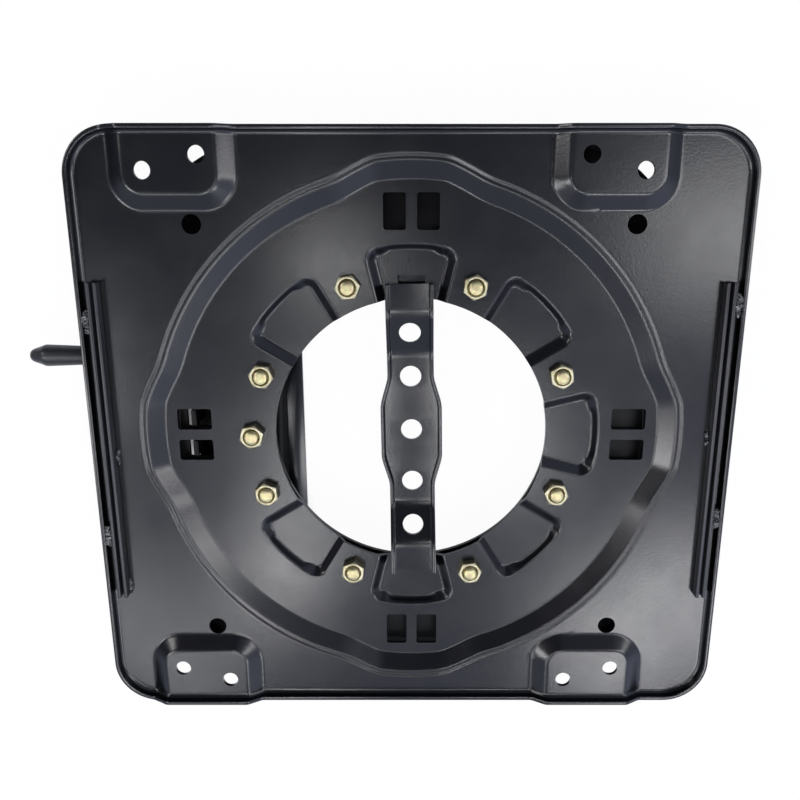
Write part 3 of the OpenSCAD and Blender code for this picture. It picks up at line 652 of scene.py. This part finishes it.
# outer beads lie between rail and rim, and inner beads at the rail's foot; each place is a side and a Y
weld = {"rows": 48, "sides": 24, "ripple": 1.7, "rippleHeight": 0.2, "uneven": 23, "unevenHeight": 0.14,
        "wander": 0.5, "wanderWaves": 9, "riseWaves": 14, "closed": 0.0004,
        "outer": {"x": 185.2, "z": 48.2, "length": 14, "r": 2.7,
                  "places": [(-1, 70), (1, 79), (-1, -62), (1, -50)]},
        "inner": {"x": 176.6, "z": 44.7, "length": 10, "r": 1.3,
                  "places": [(-1, -12), (-1, -97), (1, 0)]}}
beadCoatPaintedGlints = weldCoatPaintedGlints("blackCoatOverWeldPaintedGlints")


def weldBead(name, row, side, y, seed):
    # an ellipse in section that swells and shrinks in ripples along its line and closes at both ends
    x, z, length = side * row["x"], row["z"], row["length"]
    u = np.linspace(0, 1, weld["rows"])
    body = np.sqrt(np.clip(1 - (2 * u - 1) ** 4, weld["closed"], 1))
    ripple = 1 + weld["rippleHeight"] * np.sin(u * length / weld["ripple"] * 2 * math.pi + seed)
    ripple = ripple + weld["unevenHeight"] * np.sin(u * weld["uneven"] + 2 * seed)
    wander = weld["wander"] * np.sin(u * weld["wanderWaves"] + seed)
    climb = weld["wander"] * np.sin(u * weld["riseWaves"] + seed)
    path = np.stack([x + wander, y + (u - 0.5) * length, z + climb], axis=1)
    points, faces = sweep(path, row["r"] * body * ripple, weld["sides"], (1, 0, 0))
    bead = newPiece(name, "seat", "black_coat", points, faces)
    bead.data.materials[0] = beadCoatPaintedGlints


for i, (side, y) in enumerate(weld["outer"]["places"]):
    weldBead("weldOuter%d" % i, weld["outer"], side, y, 1.3 * i)
for i, (side, y) in enumerate(weld["inner"]["places"]):
    weldBead("weldInner%d" % i, weld["inner"], side, y, 2.1 * i + 0.4)
print("lever and welds made")


# camera, lights and floor

view = {"distance": 0.501, "tilt": 15.8, "focalPixels": 827, "centre": (411.5, 434.7), "picture": 800,
        "sensor": 36, "nearest": 0.01}


def addCamera():  # looks down at the disc, tilted towards the front edge; a small shift centres it
    tilt = math.radians(view["tilt"])
    target = Vector((0, 0, plate["disc"] * mm))
    back = Vector((0, math.sin(tilt), math.cos(tilt)))
    right = Vector((1, 0, 0))
    camera = bpy.data.objects.new("camera", bpy.data.cameras.new("camera"))
    bpy.context.scene.collection.objects.link(camera)
    turn = Matrix((right, back.cross(right), back)).transposed().to_4x4()
    camera.matrix_world = Matrix.Translation(target + view["distance"] * back) @ turn
    data, size = camera.data, view["picture"]
    data.sensor_width = view["sensor"]
    data.lens = view["focalPixels"] / size * view["sensor"]
    data.shift_x = (size / 2 - view["centre"][0]) / size
    data.shift_y = (view["centre"][1] - size / 2) / size
    data.clip_start = view["nearest"]
    bpy.context.scene.camera = camera


def addLight(name, place, aim, size, power):
    data = bpy.data.lights.new(name, "AREA")
    data.shape, data.size, data.size_y, data.energy = "RECTANGLE", size[0], size[1], power
    light = bpy.data.objects.new(name, data)
    bpy.context.scene.collection.objects.link(light)
    light.location = place
    light.rotation_euler = (Vector(aim) - Vector(place)).to_track_quat("-Z", "Y").to_euler()


# each ramp has an axis, where it starts and ends on it, and the strength at both
studio = {"colour": "c9d1ec", "ramps": [("X", 0.0, 0.5, 0.2, 0.9), ("Y", 0.1, -0.45, 0.0, 0.8)]}


def addWorld():
    # white behind the piece, and a dim studio that lights it and shows in its gloss: the studio brightens
    # towards the right and towards the front
    world = bpy.data.worlds.new("studio")
    world.use_nodes = True
    tree = world.node_tree
    tree.nodes.clear()
    towards = addNode(tree, "ShaderNodeSeparateXYZ", links={
        "Vector": addNode(tree, "ShaderNodeTexCoord").outputs["Generated"]}).outputs
    strength = None
    for axis, start, end, low, high in studio["ramps"]:
        side = addNode(tree, "ShaderNodeMapRange", settings={"interpolation_type": "SMOOTHSTEP"}, inputs={
            "From Min": start, "From Max": end, "To Min": low, "To Max": high},
            links={"Value": towards[axis]}).outputs["Result"]
        strength = side if strength is None else addNode(tree, "ShaderNodeMath", links={
            0: strength, 1: side}).outputs["Value"]
    path = addNode(tree, "ShaderNodeLightPath")
    room = addNode(tree, "ShaderNodeBackground", inputs={"Color": linear(studio["colour"])},
                   links={"Strength": strength})
    white = addNode(tree, "ShaderNodeBackground", inputs={"Color": (1, 1, 1, 1), "Strength": 1.0})
    mix = addNode(tree, "ShaderNodeMixShader", links={0: path.outputs["Is Camera Ray"],
                                                     1: room.outputs[0], 2: white.outputs[0]})
    addNode(tree, "ShaderNodeOutputWorld", links={"Surface": mix.outputs[0]})
    bpy.context.scene.world = world


floorLook = {"half": 3.0, "paint": "f4f4f4", "under": 0.03, "samples": 8, "glow": [(0.12, 0.0), (0.4, 0.96)]}


def addFloor():
    # pale paint for every ray but the camera's, which sees it nearly white; the floor under the hollow
    # base stays dark, because there is metal within 30 mm above it
    size = floorLook["half"]
    mesh = bpy.data.meshes.new("floor")
    mesh.from_pydata([(-size, -size, 0), (size, -size, 0), (size, size, 0), (-size, size, 0)], [], [(0, 1, 2, 3)])
    floor = bpy.data.objects.new("floor", mesh)
    bpy.context.scene.collection.objects.link(floor)
    material = bpy.data.materials.new("paleFloor")
    material.use_nodes = True
    tree = material.node_tree
    tree.nodes.clear()
    path = addNode(tree, "ShaderNodeLightPath")
    paint = addNode(tree, "ShaderNodeBsdfDiffuse", inputs={"Color": linear(floorLook["paint"])})
    glow = addNode(tree, "ShaderNodeEmission", inputs={"Color": (1, 1, 1, 1), "Strength": 1.0})
    under = addNode(tree, "ShaderNodeAmbientOcclusion", settings={"samples": floorLook["samples"]},
                    inputs={"Distance": floorLook["under"]})
    share = addNode(tree, "ShaderNodeValToRGB", links={"Fac": under.outputs["AO"]},
                    stops=floorLook["glow"])
    both = addNode(tree, "ShaderNodeMixShader", links={0: share.outputs["Color"], 1: paint.outputs[0],
                                                      2: glow.outputs[0]})
    seen = addNode(tree, "ShaderNodeMixShader", links={0: path.outputs["Is Camera Ray"],
                                                      1: paint.outputs[0], 2: both.outputs[0]})
    addNode(tree, "ShaderNodeOutputMaterial", links={"Surface": seen.outputs[0]})
    mesh.materials.append(material)


# place in metres, the point it faces, its two sides in metres and its power in watts
lights = {
    "ceilingLampLeft": ((-0.17, -0.31, 1.14), (0, 0, 0), (0.1, 0.2), 1.0),
    "ceilingLampRight": ((0.17, -0.31, 1.14), (0, 0, 0), (0.1, 0.2), 1.0),
    "windowFrontRight": ((0.5, -0.71, 1.14), (0, 0, 0), (0.42, 0.2), 3.2),
    "windowFrontLeft": ((-0.26, -0.58, 1.14), (0, 0, 0), (0.12, 0.2), 1.2),
    "wallFrontLeft": ((-0.6, -0.73, 1.14), (0, 0, 0), (0.5, 0.18), 1.4),
    "windowRight": ((0.85, 0.1, 1.1), (0, 0, 0), (0.26, 0.9), 5),
    "windowLeft": ((-0.88, -0.25, 1.05), (0, 0, 0), (0.26, 0.5), 4.5),
    "windowBackLeft": ((-1.2, 0.55, 1.0), (0.13, -0.1, 0.04), (0.45, 0.5), 5),
    "lampLeft": ((-0.15, 0.02, 1.14), (0, 0, 0), (0.1, 0.1), 0.5),
}
addCamera()
addWorld()
addFloor()
for name, (place, aim, size, power) in lights.items():
    addLight(name, place, aim, size, power)
bpy.context.scene.view_settings.view_transform = "Standard"
print("stage set")
